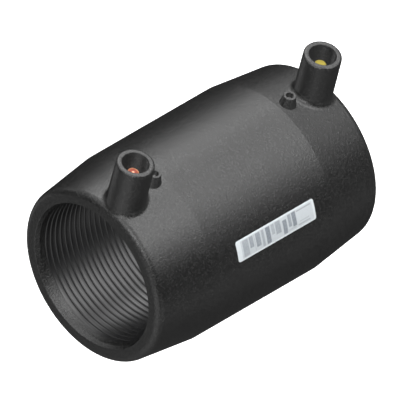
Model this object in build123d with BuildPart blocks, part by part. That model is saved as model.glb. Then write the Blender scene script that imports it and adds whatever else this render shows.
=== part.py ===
from build123d import *
import os
from math import cos, hypot, radians, sin

# Electrofusion coupler for 50 mm polyethylene pipe, millimetres.
# Row frame: +Z is the bore axis, the coupler stands on one end face, and the
# origin is where the bore axis meets that lower end face. The two terminals
# point along -Y.

# ---- body -------------------------------------------------------------
LENGTH = 101.4            # end face to end face
R_BODY = 34.0             # middle barrel, outside radius
R_END = 31.16             # where the end cone would meet the end face
L_CONE = 23.54            # axial length of each end cone
R_END_ROUND = 2.73        # round on the outer edge of each end face
R_BORE = 25.37            # socket bore
MOUTH_AXIAL = 1.5         # lead-in chamfer, along the axis
MOUTH_RADIAL = 0.9        # lead-in chamfer, across it
R_MOUTH_ROUND = 0.35      # rounds on both edges of the lead-in

# ---- heating coil, moulded flush with the bore ------------------------
Z_COIL_START = 3.9        # plain entry from each end face to the first turn
PITCH = 2.234             # one turn of coated wire beside the next
TURNS = 16                # turns in each socket
L_COIL = PITCH * TURNS
R_COIL_OUT = 27.6         # back of the coated wire, inside the wall
R_LINK = 0.6              # wire between the two windings and out to the pins
R_LINK_AXIS = 26.5        # how far the link runs from the bore axis

# ---- pipe stop at mid-length ------------------------------------------
W_RELIEF = 3.0            # shallow relief round the middle of the bore
R_RELIEF = 25.65
STOP_COUNT = 4            # small tabs that can be knocked out
R_STOP = 23.9             # how far in each tab reaches
W_STOP = 1.6              # along the axis
L_STOP = 5.0              # round the bore

# ---- terminal shrouds -------------------------------------------------
Z_TERMINAL = 7.54         # terminal axis from its own end face
H_RIM = 49.8              # shroud rim from the bore axis
R_RIM = 6.48              # outside radius at the rim
R_SHROUD_FOOT = 6.58      # outside radius at the root
H_ROOT = 29.4             # shroud reaches down inside the wall to here
R_CUP = 4.5               # inside radius at the rim
R_CUP_FLOOR = 4.36        # inside radius at the cup's floor
H_CUP_FLOOR = 37.2        # cup floor from the bore axis
R_RIM_OUTER = 0.85        # rounds on the rim
R_RIM_INNER = 0.4
R_FOOT_FILLET = 1.9       # between the shroud and the body

# ---- fusion indicators ------------------------------------------------
Z_INDICATOR = 19.6        # indicator axis from its own end face
H_INDICATOR = 37.6        # top of the boss from the bore axis
R_IND_TOP = 2.1
R_IND_BASE = 2.95
H_IND_BASE = 33.0
R_IND_WELL = 1.24         # well round the moulded post
R_IND_POST = 0.65         # post moulded with the body, lifted only by the melt
H_IND_POST = 36.1
H_IND_FLOOR = 31.4
R_IND_FOOT_FILLET = 0.2
R_IND_RIM = 0.15

# ---- terminals --------------------------------------------------------
R_PIN = 2.0               # 4.0 mm contact
H_PIN_TIP = 45.45         # 4.35 mm below the rim
PIN_CHAMFER = 0.3
R_PIN_ROOT = 3.0          # ribbed root held in the wall, flush with the cup floor
R_PIN_GROOVE = 2.4        # grooves between its ribs
H_PIN_FOOT = 29.0         # where the wire meets the pin
H_RIBS = (31.0, 32.2, 33.1, 34.3, 35.2)
R_INSERT = 1.55           # coloured insulator inside the resistor terminal
H_INSERT_FLOOR = 33.0
H_INSERT_TOP = 45.35
R_CONTACT = 0.45          # centre contact
H_CONTACT_FOOT = 39.2
H_CONTACT_TIP = 45.45
R_RESISTOR = 1.05
H_RESISTOR_FOOT = 34.0
H_RESISTOR_TOP = 38.6
R_RESISTOR_LEAD = 0.25

# ---- label ------------------------------------------------------------
LABEL_ANGLE = 209.75      # middle of the label, degrees round +Z from +X
LABEL_SPAN = 12.5         # degrees round the barrel
LABEL_BOTTOM = 31.4
LABEL_LENGTH = 35.6
LABEL_THICK = 0.12
LABEL_CORNER = 0.8

os.makedirs("parts", exist_ok=True)

MID = LENGTH / 2
TERMINALS = (Z_TERMINAL, LENGTH - Z_TERMINAL)
INDICATORS = (Z_INDICATOR, LENGTH - Z_INDICATOR)


def turned_plane(z):
    """Plane for a profile turned about the -Y axis at height z: X is the radius, -Y the distance from the bore axis."""
    return Plane(origin=(0, 0, z), x_dir=(1, 0, 0), z_dir=(0, 0, 1))


def terminal_axis(z):
    return Axis((0, 0, z), (0, -1, 0))


def points_below(profile):
    """A (radius, distance from the bore axis) profile as points on a turned plane."""
    return [(r, -h) for r, h in profile]


def reach(edge, z):
    """Least and greatest distance of an edge from the -Y axis at height z."""
    spots = [edge.position_at(t) for t in (0, 0.2, 0.4, 0.6, 0.8, 1)]
    return (
        min(hypot(p.X, p.Z - z) for p in spots),
        max(hypot(p.X, p.Z - z) for p in spots),
    )


# Root of either terminal, shared with its seat in the wall: a foot, then a
# ribbed shank whose top is flush with the cup floor.
ROOT = [(0, H_PIN_FOOT), (R_PIN, H_PIN_FOOT), (R_PIN, H_RIBS[0] - 0.4), (R_PIN_ROOT, H_RIBS[0])]
for low, high in ((H_RIBS[1], H_RIBS[2]), (H_RIBS[3], H_RIBS[4])):
    ROOT += [
        (R_PIN_ROOT, low),
        (R_PIN_GROOVE, low),
        (R_PIN_GROOVE, high),
        (R_PIN_ROOT, high),
    ]
ROOT += [(R_PIN_ROOT, H_CUP_FLOOR)]

# Contact above the cup floor.
SHANK = [
    (R_PIN, H_CUP_FLOOR),
    (R_PIN, H_PIN_TIP - PIN_CHAMFER),
    (R_PIN - PIN_CHAMFER, H_PIN_TIP),
]


# ---- heating_coil: one coated wire ------------------------------------
# The turns lie side by side, so each socket's winding is a plain sleeve here.
with BuildPart() as heating_coil:
    for start in (Z_COIL_START, LENGTH - Z_COIL_START - L_COIL):
        with BuildSketch(Plane.XY.offset(start)):
            Circle(R_COIL_OUT)
            Circle(R_BORE, mode=Mode.SUBTRACT)
        extrude(amount=L_COIL)
    # the run between the two windings, inside the wall of the cold zone
    with BuildSketch(Plane.XY.offset(Z_COIL_START + L_COIL - 1)):
        with Locations((0, R_LINK_AXIS)):
            Circle(R_LINK)
    extrude(amount=LENGTH - 2 * (Z_COIL_START + L_COIL - 1))
    # the two ends, out to the terminals
    for z in TERMINALS:
        with BuildSketch(turned_plane(z)):
            Polygon(
                *points_below(
                    [
                        (0, R_LINK_AXIS),
                        (R_LINK, R_LINK_AXIS),
                        (R_LINK, H_PIN_FOOT),
                        (0, H_PIN_FOOT),
                    ]
                ),
                align=None,
            )
        revolve(axis=terminal_axis(z))
heating_coil.part.label = "heating_coil"
export_step(heating_coil.part, "parts/heating_coil.step")


# ---- coupler_body: one moulding ---------------------------------------
with BuildPart() as coupler_body:
    # barrel: end cones, rounded end faces, lead-in chamfers
    with BuildSketch(Plane.XZ) as section:
        with BuildLine():
            Polyline(
                (R_BORE + MOUTH_RADIAL, 0),
                (R_END, 0),
                (R_BODY, L_CONE),
                (R_BODY, LENGTH - L_CONE),
                (R_END, LENGTH),
                (R_BORE + MOUTH_RADIAL, LENGTH),
                (R_BORE, LENGTH - MOUTH_AXIAL),
                (R_BORE, MOUTH_AXIAL),
                (R_BORE + MOUTH_RADIAL, 0),
            )
        make_face()
        fillet(
            section.vertices().filter_by(lambda v: abs(v.X - R_END) < 1e-4),
            R_END_ROUND,
        )
        fillet(
            section.vertices().filter_by(
                lambda v: v.X < R_BORE + MOUTH_RADIAL + 1e-4
            ),
            R_MOUTH_ROUND,
        )
    revolve(axis=Axis.Z)

    # shrouds that run into the wall, with a fillet round each foot
    for z in TERMINALS:
        with BuildSketch(turned_plane(z)):
            Polygon(
                *points_below(
                    [
                        (0, H_ROOT),
                        (R_SHROUD_FOOT, H_ROOT),
                        (R_RIM, H_RIM),
                        (0, H_RIM),
                    ]
                ),
                align=None,
            )
        revolve(axis=terminal_axis(z))
    for z in TERMINALS:
        fillet(
            coupler_body.edges().filter_by(
                lambda e: reach(e, z)[0] > R_RIM - 0.2
                and reach(e, z)[1] < R_SHROUD_FOOT + 0.2
                and e.center().Y > -H_CUP_FLOOR
            ),
            R_FOOT_FILLET,
        )

    # indicator bosses, each with a well round its moulded post
    for z in INDICATORS:
        with BuildSketch(turned_plane(z)):
            Polygon(
                *points_below(
                    [
                        (0, H_ROOT),
                        (R_IND_BASE, H_ROOT),
                        (R_IND_BASE, H_IND_BASE),
                        (R_IND_TOP, H_INDICATOR),
                        (0, H_INDICATOR),
                    ]
                ),
                align=None,
            )
        revolve(axis=terminal_axis(z))
    for z in INDICATORS:
        fillet(
            coupler_body.edges()
            .filter_by(GeomType.BSPLINE)
            .filter_by(
                lambda e: reach(e, z)[1] < R_IND_BASE + 0.1 and reach(e, z)[0] > R_IND_TOP
            ),
            R_IND_FOOT_FILLET,
        )
        with BuildSketch(turned_plane(z)):
            Polygon(
                *points_below(
                    [
                        (0, H_IND_POST),
                        (R_IND_POST, H_IND_POST),
                        (R_IND_POST, H_IND_FLOOR),
                        (R_IND_WELL, H_IND_FLOOR),
                        (R_IND_WELL, H_INDICATOR + 1),
                        (0, H_INDICATOR + 1),
                    ]
                ),
                align=None,
            )
        revolve(axis=terminal_axis(z), mode=Mode.SUBTRACT)
        fillet(
            coupler_body.edges()
            .filter_by(GeomType.CIRCLE)
            .filter_by(
                lambda e: abs(e.center().Y + H_INDICATOR) < 1e-3
                and abs(e.center().Z - z) < 1e-3
            ),
            R_IND_RIM,
        )

    # shroud cups, with their draft, and the rounded rims
    for z in TERMINALS:
        with BuildSketch(turned_plane(z)):
            Polygon(
                *points_below(
                    [
                        (0, H_CUP_FLOOR),
                        (R_CUP_FLOOR, H_CUP_FLOOR),
                        (R_CUP, H_RIM),
                        (0, H_RIM),
                    ]
                ),
                align=None,
            )
        revolve(axis=terminal_axis(z), mode=Mode.SUBTRACT)
        rim = (
            coupler_body.edges()
            .filter_by(GeomType.CIRCLE)
            .filter_by(
                lambda e: abs(e.center().Y + H_RIM) < 1e-3
                and abs(e.center().Z - z) < 1e-3
            )
            .sort_by(SortBy.RADIUS)
        )
        fillet(rim[-1], R_RIM_OUTER)
        fillet(
            coupler_body.edges()
            .filter_by(GeomType.CIRCLE)
            .filter_by(
                lambda e: abs(e.center().Y + H_RIM) < 1e-3
                and abs(e.center().Z - z) < 1e-3
                and abs(e.radius - R_CUP) < 1e-3
            ),
            R_RIM_INNER,
        )
        # the seat of the terminal's root
        with BuildSketch(turned_plane(z)):
            Polygon(*points_below(ROOT + [(0, H_CUP_FLOOR)]), align=None)
        revolve(axis=terminal_axis(z), mode=Mode.SUBTRACT)

    # relief and knock-out pipe stops at mid-length
    with BuildSketch(Plane.XY.offset(MID - W_RELIEF / 2)):
        Circle(R_RELIEF)
    extrude(amount=W_RELIEF, mode=Mode.SUBTRACT)
    with BuildSketch(Plane.XY.offset(MID - W_STOP / 2)):
        with PolarLocations(0, STOP_COUNT, start_angle=45):
            Rectangle(R_RELIEF + 0.6, L_STOP, align=(Align.MIN, Align.CENTER))
        Circle(R_RELIEF + 0.5, mode=Mode.INTERSECT)
        Circle(R_STOP, mode=Mode.SUBTRACT)
    extrude(amount=W_STOP)

    # the wire lies in the wall it was moulded into
    add(heating_coil.part, mode=Mode.SUBTRACT)
coupler_body.part.label = "coupler_body"
export_step(coupler_body.part, "parts/coupler_body.step")


# ---- terminal_pin_lower: plain solid terminal -------------------------
with BuildPart() as terminal_pin_lower:
    with BuildSketch(turned_plane(Z_TERMINAL)):
        Polygon(*points_below(ROOT + SHANK + [(0, H_PIN_TIP)]), align=None)
    revolve(axis=terminal_axis(Z_TERMINAL))
terminal_pin_lower.part.label = "terminal_pin_lower"
export_step(terminal_pin_lower.part, "parts/terminal_pin_lower.step")


# ---- terminal_sleeve_upper: the terminal that holds the resistor ------
Z_UPPER = LENGTH - Z_TERMINAL
with BuildPart() as terminal_sleeve_upper:
    with BuildSketch(turned_plane(Z_UPPER)):
        Polygon(
            *points_below(
                ROOT
                + SHANK
                + [
                    (R_INSERT, H_PIN_TIP),
                    (R_INSERT, H_INSERT_FLOOR),
                    (0, H_INSERT_FLOOR),
                ]
            ),
            align=None,
        )
    revolve(axis=terminal_axis(Z_UPPER))
terminal_sleeve_upper.part.label = "terminal_sleeve_upper"
export_step(terminal_sleeve_upper.part, "parts/terminal_sleeve_upper.step")


# ---- terminal_insulator_upper: coloured plug round the resistor -------
with BuildPart() as terminal_insulator_upper:
    with BuildSketch(turned_plane(Z_UPPER)):
        Polygon(
            *points_below(
                [
                    (R_RESISTOR_LEAD, H_INSERT_FLOOR),
                    (R_INSERT, H_INSERT_FLOOR),
                    (R_INSERT, H_INSERT_TOP - 0.15),
                    (R_INSERT - 0.15, H_INSERT_TOP),
                    (R_CONTACT, H_INSERT_TOP),
                    (R_CONTACT, H_CONTACT_FOOT),
                    (R_RESISTOR_LEAD, H_CONTACT_FOOT),
                    (R_RESISTOR_LEAD, H_RESISTOR_TOP),
                    (R_RESISTOR, H_RESISTOR_TOP),
                    (R_RESISTOR, H_RESISTOR_FOOT),
                    (R_RESISTOR_LEAD, H_RESISTOR_FOOT),
                ]
            ),
            align=None,
        )
    revolve(axis=terminal_axis(Z_UPPER))
terminal_insulator_upper.part.label = "terminal_insulator_upper"
export_step(terminal_insulator_upper.part, "parts/terminal_insulator_upper.step")


# ---- resistor_contact_upper: centre contact ---------------------------
with BuildPart() as resistor_contact_upper:
    with BuildSketch(turned_plane(Z_UPPER)):
        Polygon(
            *points_below(
                [
                    (0, H_CONTACT_FOOT),
                    (R_CONTACT, H_CONTACT_FOOT),
                    (R_CONTACT, H_CONTACT_TIP - 0.12),
                    (R_CONTACT - 0.12, H_CONTACT_TIP),
                    (0, H_CONTACT_TIP),
                ]
            ),
            align=None,
        )
    revolve(axis=terminal_axis(Z_UPPER))
resistor_contact_upper.part.label = "resistor_contact_upper"
export_step(resistor_contact_upper.part, "parts/resistor_contact_upper.step")


# ---- identification_resistor: sealed inside the upper terminal --------
with BuildPart() as identification_resistor:
    with BuildSketch(turned_plane(Z_UPPER)):
        Polygon(
            *points_below(
                [
                    (0, H_INSERT_FLOOR),
                    (R_RESISTOR_LEAD, H_INSERT_FLOOR),
                    (R_RESISTOR_LEAD, H_RESISTOR_FOOT),
                    (R_RESISTOR, H_RESISTOR_FOOT),
                    (R_RESISTOR, H_RESISTOR_TOP),
                    (R_RESISTOR_LEAD, H_RESISTOR_TOP),
                    (R_RESISTOR_LEAD, H_CONTACT_FOOT),
                    (0, H_CONTACT_FOOT),
                ]
            ),
            align=None,
        )
    revolve(axis=terminal_axis(Z_UPPER))
identification_resistor.part.label = "identification_resistor"
export_step(identification_resistor.part, "parts/identification_resistor.step")


# ---- barcode_label: self-adhesive label on the barrel -----------------
label_start = radians(LABEL_ANGLE - LABEL_SPAN / 2)
label_plane = Plane(
    origin=(0, 0, 0),
    x_dir=(cos(label_start), sin(label_start), 0),
    z_dir=(sin(label_start), -cos(label_start), 0),
)
with BuildPart() as barcode_label:
    with BuildSketch(label_plane):
        with Locations((R_BODY, LABEL_BOTTOM)):
            Rectangle(LABEL_THICK, LABEL_LENGTH, align=(Align.MIN, Align.MIN))
    revolve(axis=Axis.Z, revolution_arc=LABEL_SPAN)
    fillet(
        barcode_label.edges().filter_by(
            lambda e: e.geom_type == GeomType.LINE and e.length < 2 * LABEL_THICK
        ),
        LABEL_CORNER,
    )
barcode_label.part.label = "barcode_label"
export_step(barcode_label.part, "parts/barcode_label.step")

for piece in (
    coupler_body,
    heating_coil,
    terminal_pin_lower,
    terminal_sleeve_upper,
    terminal_insulator_upper,
    resistor_contact_upper,
    identification_resistor,
    barcode_label,
):
    box = piece.part.bounding_box()
    print(
        piece.part.label,
        f"{piece.part.volume:.1f} mm3",
        f"{box.min.X:.2f} {box.min.Y:.2f} {box.min.Z:.2f}",
        f"{box.max.X:.2f} {box.max.Y:.2f} {box.max.Z:.2f}",
        piece.part.is_valid,
    )
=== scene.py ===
"""Looks of the electrofusion coupler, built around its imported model."""

import math

import bpy
import numpy as np
from mathutils import Matrix, Vector


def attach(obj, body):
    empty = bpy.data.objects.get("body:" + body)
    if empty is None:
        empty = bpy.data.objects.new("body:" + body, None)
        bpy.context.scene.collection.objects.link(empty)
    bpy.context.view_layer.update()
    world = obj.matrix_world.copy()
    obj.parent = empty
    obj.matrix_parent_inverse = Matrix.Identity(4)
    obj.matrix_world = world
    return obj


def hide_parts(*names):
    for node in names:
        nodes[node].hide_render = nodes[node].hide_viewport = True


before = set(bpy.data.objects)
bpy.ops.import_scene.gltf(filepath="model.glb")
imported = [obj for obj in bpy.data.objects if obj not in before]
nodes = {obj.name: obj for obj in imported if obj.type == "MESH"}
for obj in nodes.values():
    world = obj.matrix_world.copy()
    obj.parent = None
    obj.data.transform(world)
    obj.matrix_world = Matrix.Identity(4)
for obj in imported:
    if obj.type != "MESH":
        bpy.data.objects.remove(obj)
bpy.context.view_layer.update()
scene = bpy.context.scene

MM = 0.001

# ---------------------------------------------------------------- dimensions
LENGTH = 101.4 * MM
R_BORE = 25.37 * MM
R_BODY = 34.0 * MM
PITCH = 2.2336 * MM
COIL_OUTER = 27.58 * MM
COIL_SPANS = ((3.9 * MM, 39.644 * MM), (61.756 * MM, 97.5 * MM))
# height of the groove between two turns, at the side facing +X
GROOVE_AT_X = LENGTH - 8.0 / 3.0668 * MM - PITCH * 285.0 / 360.0

LABEL_MID = math.radians(209.75)
LABEL_HALF = math.radians(6.25)
LABEL_Z = (31.4 * MM, 67.0 * MM)


# ---------------------------------------------------------------- node helper
class Tree:
    """Short calls for building a node tree."""

    def __init__(self, tree):
        self.tree = tree
        self.x = -1400

    def node(self, kind, **props):
        n = self.tree.nodes.new(kind)
        n.location = (self.x, 0)
        self.x += 40
        for k, v in props.items():
            setattr(n, k, v)
        return n

    def put(self, socket, value):
        if isinstance(value, bpy.types.NodeSocket):
            self.tree.links.new(value, socket)
        elif value is not None:
            socket.default_value = value

    def math(self, op, a, b=None, c=None, clamp=False):
        n = self.node("ShaderNodeMath", operation=op, use_clamp=clamp)
        for s, v in zip(n.inputs, (a, b, c)):
            self.put(s, v)
        return n.outputs[0]

    def dot(self, vec, axis):
        n = self.node("ShaderNodeVectorMath", operation="DOT_PRODUCT")
        self.put(n.inputs[0], vec)
        n.inputs[1].default_value = axis
        return n.outputs["Value"]

    def scale(self, vec, xyz):
        n = self.node("ShaderNodeVectorMath", operation="MULTIPLY")
        self.put(n.inputs[0], vec)
        n.inputs[1].default_value = xyz
        return n.outputs[0]

    def step(self, value, lo, hi, out0=0.0, out1=1.0, kind="SMOOTHSTEP"):
        n = self.node("ShaderNodeMapRange", interpolation_type=kind, clamp=True)
        self.put(n.inputs["Value"], value)
        n.inputs["From Min"].default_value = lo
        n.inputs["From Max"].default_value = hi
        n.inputs["To Min"].default_value = out0
        n.inputs["To Max"].default_value = out1
        return n.outputs["Result"]

    def noise(self, vec, scale, detail=2.0, rough=0.5, distortion=0.0):
        n = self.node("ShaderNodeTexNoise")
        self.put(n.inputs["Vector"], vec)
        n.inputs["Scale"].default_value = scale
        n.inputs["Detail"].default_value = detail
        n.inputs["Roughness"].default_value = rough
        n.inputs["Distortion"].default_value = distortion
        return n.outputs["Fac"]

    def voronoi(self, vec, scale, feature="F1", out="Distance"):
        n = self.node("ShaderNodeTexVoronoi", feature=feature)
        self.put(n.inputs["Vector"], vec)
        n.inputs["Scale"].default_value = scale
        return n.outputs[out]

    def mix(self, fac, a, b):
        n = self.node("ShaderNodeMix", data_type="RGBA")
        self.put(n.inputs[0], fac)
        for s, v in ((n.inputs[6], a), (n.inputs[7], b)):
            if isinstance(v, tuple) and len(v) == 3:
                v = v + (1.0,)
            self.put(s, v)
        return n.outputs[2]

    def bump(self, height, distance, strength=1.0, normal=None):
        n = self.node("ShaderNodeBump")
        n.inputs["Strength"].default_value = strength
        n.inputs["Distance"].default_value = distance
        self.put(n.inputs["Height"], height)
        if normal is not None:
            self.put(n.inputs["Normal"], normal)
        return n.outputs["Normal"]


def material(name):
    m = bpy.data.materials.new(name)
    m.use_nodes = True
    t = Tree(m.node_tree)
    bsdf = m.node_tree.nodes["Principled BSDF"]
    return m, t, bsdf


def where(t):
    """Object coordinates: metres in the row frame, because every piece sits at the origin."""
    return t.node("ShaderNodeTexCoord").outputs["Object"]


def xyz(t, vec):
    n = t.node("ShaderNodeSeparateXYZ")
    t.put(n.inputs[0], vec)
    return n.outputs


# ---------------------------------------------------------------- materials
def black_polyethylene():
    m, t, b = material("black_polyethylene")
    p = where(t)
    # spark-eroded grain of the mould, about a third of a millimetre
    grain = t.noise(p, 1800.0, 3.0, 0.6)
    pits = t.noise(p, 620.0, 2.0, 0.5)
    flow = t.noise(t.scale(p, (1.0, 1.0, 0.35)), 160.0, 3.0, 0.55, 0.4)
    speck = t.noise(p, 1400.0, 2.0, 0.7)
    tone = t.mix(flow, (0.0018, 0.0018, 0.0018), (0.0030, 0.0030, 0.0031))
    t.put(b.inputs["Base Color"], t.mix(t.step(speck, 0.33, 0.69), tone, (0.0184, 0.0184, 0.0181)))
    t.put(b.inputs["Roughness"], t.step(flow, 0.3, 0.7, 0.19, 0.23))
    b.inputs["IOR"].default_value = 1.5
    n = t.bump(grain, 0.00015, 1.0)
    n = t.bump(pits, 0.00007, 0.6, n)
    t.put(b.inputs["Normal"], n)
    return m


def coil_coating():
    m, t, b = material("coil_coating")
    p = where(t)
    grain = t.noise(p, 2200.0, 3.0, 0.6)
    flow = t.noise(t.scale(p, (1.0, 1.0, 3.0)), 240.0, 3.0, 0.6)
    t.put(b.inputs["Base Color"], t.mix(flow, (0.0070, 0.0070, 0.0072), (0.0095, 0.0095, 0.0098)))
    t.put(b.inputs["Roughness"], t.step(flow, 0.3, 0.7, 0.20, 0.26))
    b.inputs["IOR"].default_value = 1.5
    t.put(b.inputs["Normal"], t.bump(grain, 0.000016, 0.8))
    return m


def coil_groove_painted_shade():
    """The parting line between two turns, where the coatings are fused and matte; its darker colour is painted
    shade in the groove.
    """
    m, t, b = material("coil_groove_painted_shade")
    p = where(t)
    c = t.noise(p, 2600.0, 3.0, 0.6)
    # painted shade: the groove colour is darker than the coating's, standing in for the shadow in the groove
    t.put(b.inputs["Base Color"], t.mix(c, (0.0040, 0.0040, 0.0042), (0.0065, 0.0065, 0.0068)))
    t.put(b.inputs["Roughness"], t.step(c, 0.3, 0.7, 0.55, 0.75))
    b.inputs["IOR"].default_value = 1.5
    b.inputs["Specular IOR Level"].default_value = 0.2
    t.put(b.inputs["Normal"], t.bump(c, 0.00002, 0.8))
    return m


def terminal_brass():
    m, t, b = material("terminal_brass")
    p = where(t)
    tool = t.noise(t.scale(p, (1.0, 0.15, 1.0)), 5200.0, 2.0, 0.6)
    tarnish = t.noise(p, 900.0, 3.0, 0.6)
    t.put(b.inputs["Base Color"], t.mix(tarnish, (0.27, 0.222, 0.045), (0.32, 0.264, 0.060)))
    b.inputs["Metallic"].default_value = 1.0
    t.put(b.inputs["Roughness"], t.step(tarnish, 0.3, 0.7, 0.62, 0.78))
    t.put(b.inputs["Normal"], t.bump(tool, 0.000008, 0.6))
    return m


def red_plastic():
    m, t, b = material("red_plastic")
    p = where(t)
    cloud = t.noise(p, 1500.0, 2.0, 0.5)
    t.put(b.inputs["Base Color"], t.mix(cloud, (0.17, 0.020, 0.004), (0.22, 0.028, 0.007)))
    t.put(b.inputs["Roughness"], t.step(cloud, 0.3, 0.7, 0.55, 0.70))
    t.put(b.inputs["Normal"], t.bump(t.noise(p, 4000.0, 2.0), 0.000008, 0.5))
    return m


def contact_metal():
    m, t, b = material("contact_metal")
    p = where(t)
    c = t.noise(p, 2400.0, 2.0, 0.5)
    t.put(b.inputs["Base Color"], t.mix(c, (0.70, 0.31, 0.20), (0.80, 0.37, 0.25)))
    b.inputs["Metallic"].default_value = 1.0
    t.put(b.inputs["Roughness"], t.step(c, 0.3, 0.7, 0.42, 0.52))
    t.put(b.inputs["Normal"], t.bump(t.noise(p, 6000.0, 2.0), 0.000006, 0.5))
    return m


def resistor_ceramic():
    m, t, b = material("resistor_ceramic")
    p = where(t)
    c = t.noise(p, 1800.0, 3.0, 0.6)
    t.put(b.inputs["Base Color"], t.mix(c, (0.42, 0.33, 0.22), (0.52, 0.43, 0.30)))
    t.put(b.inputs["Roughness"], t.step(c, 0.3, 0.7, 0.45, 0.65))
    t.put(b.inputs["Normal"], t.bump(t.noise(p, 5000.0, 3.0), 0.00001, 0.6))
    return m


def label_film():
    """White polyester sticker with a printed code of plain bars."""
    m, t, b = material("label_film")
    p = where(t)
    x, y, z = xyz(t, p)[:3]
    # u runs along the label from its upper end, v across it from 0 to 1
    u = t.math("DIVIDE", t.math("SUBTRACT", LABEL_Z[1], z), LABEL_Z[1] - LABEL_Z[0])
    ang = t.math("ARCTAN2", t.math("MULTIPLY", y, -1.0), t.math("MULTIPLY", x, -1.0))
    mid = LABEL_MID - math.pi
    v = t.math("DIVIDE", t.math("SUBTRACT", ang, mid - LABEL_HALF), 2 * LABEL_HALF)

    def band(s, lo, hi, soft):
        return t.math(
            "MULTIPLY",
            t.step(s, lo - soft, lo + soft),
            t.step(s, hi - soft, hi + soft, 1.0, 0.0),
        )

    ink = None

    def add(mask, dark):
        nonlocal ink
        mask = t.math("MULTIPLY", mask, dark)
        ink = mask if ink is None else t.math("MAXIMUM", ink, mask)

    su, sv = 0.0035, 0.02
    # a pale printed panel inside a bare margin
    add(t.math("MULTIPLY", band(u, 0.055, 0.975, su), band(v, 0.075, 0.925, sv)), 0.24)
    add(t.math("MULTIPLY", band(u, 0.055, 0.765, su), band(v, 0.075, 0.925, sv)), 0.30)
    # bars of uneven width
    bars = (
        (0.075, 0.150, 0.10, 0.90, 0.66),
        (0.163, 0.213, 0.36, 0.90, 0.76),
        (0.224, 0.232, 0.10, 0.90, 0.60),
        (0.243, 0.303, 0.24, 0.90, 0.80),
        (0.320, 0.352, 0.10, 0.90, 0.68),
        (0.374, 0.430, 0.10, 0.90, 0.90),
        (0.446, 0.486, 0.40, 0.90, 0.62),
        (0.497, 0.565, 0.30, 0.90, 0.70),
        (0.590, 0.642, 0.10, 0.78, 0.86),
        (0.660, 0.700, 0.30, 0.90, 0.76),
        (0.712, 0.762, 0.22, 0.90, 0.90),
    )
    for u0, u1, v0, v1, dark in bars:
        add(t.math("MULTIPLY", band(u, u0, u1, su), band(v, v0, v1, sv)), dark)
    # ruled lines beside the bars
    for v0, v1, u0, u1, dark in (
        (0.80, 0.87, 0.775, 0.96, 0.66),
        (0.28, 0.34, 0.80, 0.92, 0.46),
        (0.14, 0.21, 0.775, 0.93, 0.60),
        (0.14, 0.21, 0.655, 0.75, 0.52),
    ):
        add(t.math("MULTIPLY", band(u, u0, u1, su), band(v, v0, v1, 0.012)), dark)
    wear = t.noise(p, 1500.0, 3.0, 0.6)
    ink = t.math("MULTIPLY", ink, t.step(wear, 0.25, 0.7, 0.80, 1.0))
    paper = t.mix(t.noise(p, 260.0, 2.0), (0.60, 0.64, 0.66), (0.65, 0.69, 0.71))
    t.put(b.inputs["Base Color"], t.mix(ink, paper, (0.13, 0.15, 0.18)))
    t.put(b.inputs["Roughness"], t.step(wear, 0.2, 0.8, 0.30, 0.42))
    n = t.bump(t.noise(p, 500.0, 2.0), 0.00004, 0.5)
    t.put(b.inputs["Normal"], t.bump(ink, 0.000006, 0.5, n))
    return m


MATS = {
    "coupler_body": black_polyethylene(),
    "heating_coil": coil_coating(),
    "terminal_pin_lower": terminal_brass(),
    "terminal_insulator_upper": red_plastic(),
    "resistor_contact_upper": contact_metal(),
    "identification_resistor": resistor_ceramic(),
    "barcode_label": label_film(),
}


def copper_brass():
    m, t, b = material("terminal_brass_upper")
    p = where(t)
    tarnish = t.noise(p, 900.0, 3.0, 0.6)
    t.put(b.inputs["Base Color"], t.mix(tarnish, (0.48, 0.215, 0.115), (0.55, 0.26, 0.15)))
    b.inputs["Metallic"].default_value = 1.0
    t.put(b.inputs["Roughness"], t.step(tarnish, 0.3, 0.7, 0.60, 0.74))
    t.put(b.inputs["Normal"], t.bump(t.noise(p, 5200.0, 2.0), 0.000008, 0.6))
    return m


MATS["terminal_sleeve_upper"] = copper_brass()

for name, mat in MATS.items():
    mesh = nodes[name].data
    mesh.materials.clear()
    mesh.materials.append(mat)


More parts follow.
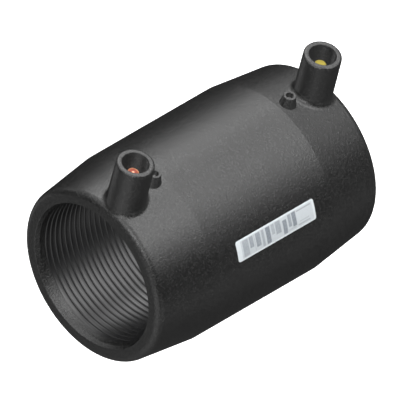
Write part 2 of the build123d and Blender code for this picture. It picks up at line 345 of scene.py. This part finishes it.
# ---------------------------------------------------------------- the winding
def winding():
    """Both sockets' turns of coated wire."""
    n = 144
    # places across one turn from one groove to the next, and how far each lies outside the crest
    profile = (
        (0.000, 0.44),
        (0.030, 0.36),
        (0.060, 0.22),
        (0.095, 0.125),
        (0.140, 0.068),
        (0.210, 0.032),
        (0.310, 0.010),
        (0.420, 0.000),
        (0.580, 0.000),
        (0.690, 0.010),
        (0.790, 0.032),
        (0.860, 0.068),
        (0.905, 0.125),
        (0.940, 0.22),
        (0.970, 0.36),
    )
    per = len(profile)
    across = [q[0] for q in profile]
    # the bottom rows of each groove take the darker groove material, which is painted shade
    groove_rows_painted_shade = {0, 14}

    def radius(k, z, z0, z1):
        edge = min(z - z0, z1 - z) / (0.35 * MM)
        return R_BORE + profile[k][1] * MM * max(0.0, min(1.0, edge))

    verts, faces, grooves = [], [], []
    for z0, z1 in COIL_SPANS:
        first = math.floor((z0 - GROOVE_AT_X - PITCH) / PITCH) - 1
        last = math.ceil((z1 - GROOVE_AT_X) / PITCH) + 1
        rows = (last - first) * per
        ids = {}

        def vid(i, j):
            if i == n:
                i, j = 0, j + per
            turn, k = divmod(j, per)
            t = across[k]
            z = GROOVE_AT_X + PITCH * (first + turn + t + i / n)
            if z <= z0 + 1e-7:
                key, z = (i, "low"), z0
            elif z >= z1 - 1e-7:
                key, z = (i, "high"), z1
            else:
                key = (i, j)
            if key not in ids:
                r = radius(k, z, z0, z1)
                a = 2 * math.pi * i / n
                ids[key] = len(verts)
                verts.append((r * math.cos(a), r * math.sin(a), z))
            return ids[key]

        for j in range(rows):
            for i in range(n):
                ring = [vid(i, j), vid(i, j + 1), vid(i + 1, j + 1), vid(i + 1, j)]
                ring = [v for k, v in enumerate(ring) if v != ring[k - 1]]
                if len(set(ring)) >= 3:
                    if j % per in groove_rows_painted_shade:
                        grooves.append(len(faces))
                    faces.append(ring)
        outer = []
        for z in (z0, z1):
            row = []
            for i in range(n):
                a = 2 * math.pi * i / n
                row.append(len(verts))
                verts.append((COIL_OUTER * math.cos(a), COIL_OUTER * math.sin(a), z))
            outer.append(row)
        for i in range(n):
            k = (i + 1) % n
            faces.append([outer[0][i], outer[0][k], outer[1][k], outer[1][i]])
            faces.append([ids[(i, "low")], ids[(k, "low")], outer[0][k], outer[0][i]])
            faces.append([ids[(k, "high")], ids[(i, "high")], outer[1][i], outer[1][k]])
    mesh = bpy.data.meshes.new("heating_winding")
    mesh.from_pydata([tuple(v) for v in verts], [], faces)
    mesh.validate()
    obj = bpy.data.objects.new("heating_winding", mesh)
    scene.collection.objects.link(obj)
    mesh.materials.append(MATS["heating_coil"])
    mesh.materials.append(coil_groove_painted_shade())
    for p in mesh.polygons:
        p.use_smooth = True
    for k in grooves:
        mesh.polygons[k].material_index = 1
    return obj


coil = winding()
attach(coil, "root")
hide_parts("heating_coil")


# ---------------------------------------------------------------- floor
def floor():
    mesh = bpy.data.meshes.new("floor")
    s = 12.0
    z = -0.0002
    mesh.from_pydata([(-s, -s, z), (s, -s, z), (s, s, z), (-s, s, z)], [], [(0, 1, 2, 3)])
    obj = bpy.data.objects.new("floor", mesh)
    scene.collection.objects.link(obj)
    m, t, b = material("studio_floor")
    p = where(t)
    tone = t.noise(p, 3.0, 2.0)
    t.put(b.inputs["Base Color"], t.mix(tone, (0.90, 0.90, 0.90), (0.92, 0.92, 0.92)))
    b.inputs["Roughness"].default_value = 1.0
    b.inputs["Specular IOR Level"].default_value = 0.0
    b.inputs["Emission Color"].default_value = (1, 1, 1, 1)
    b.inputs["Emission Strength"].default_value = 1.0
    mesh.materials.append(m)
    obj.visible_glossy = False
    obj.visible_diffuse = False
    obj.visible_shadow = False
    return obj


floor_obj = floor()

# ---------------------------------------------------------------- studio light
# soft lamps of the studio: direction, sharpness of the lamp's edge, strength
LAMPS = (
    ((0.103, -0.993, -0.062), 3, 1.15),
    ((-0.331, 0.758, 0.562), 3, 0.42),
    ((0.360, -0.739, 0.569), 8, 1.85),
    ((-0.326, 0.342, 0.881), 8, 1.05),
    ((-0.186, 0.050, -0.981), 8, 0.22),
    ((0.582, -0.765, -0.277), 20, 6.10),
    ((-0.454, -0.866, -0.210), 20, 4.00),
    ((-0.156, -0.838, -0.523), 20, 2.06),
    ((-0.594, -0.638, -0.490), 20, 0.78),
    ((-0.745, 0.357, -0.563), 20, 0.33),
    ((-0.272, -0.679, 0.682), 45, 8.60),
    ((0.057, -0.881, -0.469), 45, 2.31),
    ((-0.950, 0.307, 0.051), 45, 1.45),
    ((0.572, -0.427, -0.700), 45, 1.40),
    ((0.839, -0.440, -0.300), 45, 1.40),
    ((0.952, -0.213, 0.220), 45, 1.08),
    ((0.746, 0.624, 0.233), 45, 0.73),
)
AMBIENT = 0.035


def lamps(t, direction):
    """Radiance of the studio's soft lamps in a direction."""
    total = None
    for to, sharp, strength in LAMPS:
        c = t.dot(direction, to)
        e = t.math("EXPONENT", t.math("MULTIPLY_ADD", c, float(sharp), -float(sharp)))
        total = t.math("MULTIPLY", e, strength) if total is None else t.math("MULTIPLY_ADD", e, strength, total)
    return total


def light_dome():
    """A hemisphere-and-more of diffusing cloth that carries the lamps. The camera doesn't see it."""
    import bmesh

    mesh = bpy.data.meshes.new("light_dome")
    bm = bmesh.new()
    bmesh.ops.create_icosphere(bm, subdivisions=4, radius=2.0)
    bmesh.ops.reverse_faces(bm, faces=bm.faces)
    bm.to_mesh(mesh)
    bm.free()
    obj = bpy.data.objects.new("light_dome", mesh)
    scene.collection.objects.link(obj)
    m = bpy.data.materials.new("light_dome")
    m.use_nodes = True
    m.node_tree.nodes.clear()
    t = Tree(m.node_tree)
    n = t.node("ShaderNodeVectorMath", operation="NORMALIZE")
    t.put(n.inputs[0], where(t))
    em = t.node("ShaderNodeEmission")
    t.put(em.inputs["Strength"], lamps(t, n.outputs[0]))
    o = t.node("ShaderNodeOutputMaterial")
    t.put(o.inputs["Surface"], em.outputs[0])
    mesh.materials.append(m)
    obj.visible_camera = False
    obj.visible_shadow = False
    return obj


def bore_flag():
    """A graded flag buried in the barrel's wall. Shadow and glossy rays meet it and the camera doesn't, so it shades one side of the bore."""
    low, high, n = math.radians(-180), math.radians(180), 84
    verts, faces = [], []
    for i in range(n + 1):
        # angles run from the direction 15 degrees to the +X side of the terminals, towards -X
        a = math.radians(285.0) - (low + (high - low) * i / n)
        for z in (52.0 * MM, LENGTH - 0.3 * MM):
            verts.append((29.6 * MM * math.cos(a), 29.6 * MM * math.sin(a), z))
    for i in range(n):
        faces.append((2 * i, 2 * i + 2, 2 * i + 3, 2 * i + 1))
    mesh = bpy.data.meshes.new("bore_flag")
    mesh.from_pydata(verts, [], faces)
    obj = bpy.data.objects.new("bore_flag", mesh)
    scene.collection.objects.link(obj)
    m = bpy.data.materials.new("bore_flag")
    m.use_nodes = True
    m.node_tree.nodes.clear()
    t = Tree(m.node_tree)
    p = where(t)
    az = t.math("ARCTAN2", t.dot(p, (-0.9659, -0.2588, 0.0)), t.dot(p, (0.2588, -0.9659, 0.0)))
    clear = t.step(az, math.radians(-70), math.radians(21), 0.14, 1.0, "LINEAR")
    clear = t.math("MULTIPLY", clear, t.step(az, math.radians(62), math.radians(112), 1.0, 0.20, "LINEAR"))
    # it hangs from the upper end face and thins out at mid-length
    clear = t.math("MAXIMUM", clear, t.step(xyz(t, p)[2], 0.052, 0.066, 1.0, 0.0, "LINEAR"))
    tr = t.node("ShaderNodeBsdfTransparent")
    mixed = t.mix(clear, (0.0, 0.0, 0.0), (1.0, 1.0, 1.0))
    t.put(tr.inputs["Color"], mixed)
    o = t.node("ShaderNodeOutputMaterial")
    t.put(o.inputs["Surface"], tr.outputs[0])
    mesh.materials.append(m)
    obj.visible_camera = False
    obj.visible_diffuse = False
    obj.visible_glossy = True
    obj.visible_transmission = False
    obj.visible_volume_scatter = False
    return obj


dome = light_dome()
flag = bore_flag()
# the lamps reach into the bore and the cups: only the flag stands in their way
in_the_way = bpy.data.collections.new("in_the_way")
in_the_way.objects.link(flag)
for o in list(nodes.values()) + [coil, floor_obj]:
    in_the_way.objects.link(o)
for o in list(nodes.values()) + [coil]:
    o.visible_glossy = False
for held in in_the_way.collection_objects:
    held.light_linking.link_state = "EXCLUDE"
in_the_way.collection_objects[0].light_linking.link_state = "INCLUDE"
dome.light_linking.blocker_collection = in_the_way

world = bpy.data.worlds.new("studio")
scene.world = world
world.use_nodes = True
world.node_tree.nodes.clear()
w = Tree(world.node_tree)
path = w.node("ShaderNodeLightPath")
bg = w.node("ShaderNodeBackground")
bg.inputs["Color"].default_value = (1.0, 1.0, 1.0, 1.0)
bg.inputs["Strength"].default_value = AMBIENT
white = w.node("ShaderNodeBackground")
white.inputs["Color"].default_value = (1.0, 1.0, 1.0, 1.0)
white.inputs["Strength"].default_value = 1.2
mixer = w.node("ShaderNodeMixShader")
w.tree.links.new(path.outputs["Is Camera Ray"], mixer.inputs[0])
w.tree.links.new(bg.outputs[0], mixer.inputs[1])
w.tree.links.new(white.outputs[0], mixer.inputs[2])
out = w.node("ShaderNodeOutputWorld")
w.tree.links.new(mixer.outputs[0], out.inputs["Surface"])

scene.view_settings.view_transform = "Standard"
scene.view_settings.look = "None"

# ---------------------------------------------------------------- camera
right = Vector((-0.68301, -0.18301, -0.70711))
upward = Vector((0.60566, -0.68301, -0.40825))
back = right.cross(upward).normalized()
target = Vector((0.0, 0.0, 0.0507)) - right * (1.39 / 3066.8) + upward * (13.025 / 3066.8)
cam = bpy.data.cameras.new("camera")
cam.type = "ORTHO"
cam.ortho_scale = 400.0 / 3066.8
cam.clip_start = 0.01
cam.clip_end = 50.0
cam_obj = bpy.data.objects.new("camera", cam)
scene.collection.objects.link(cam_obj)
rot = Matrix((right, upward, back)).transposed().to_4x4()
cam_obj.matrix_world = Matrix.Translation(target + back * 0.5) @ rot
scene.camera = cam_obj
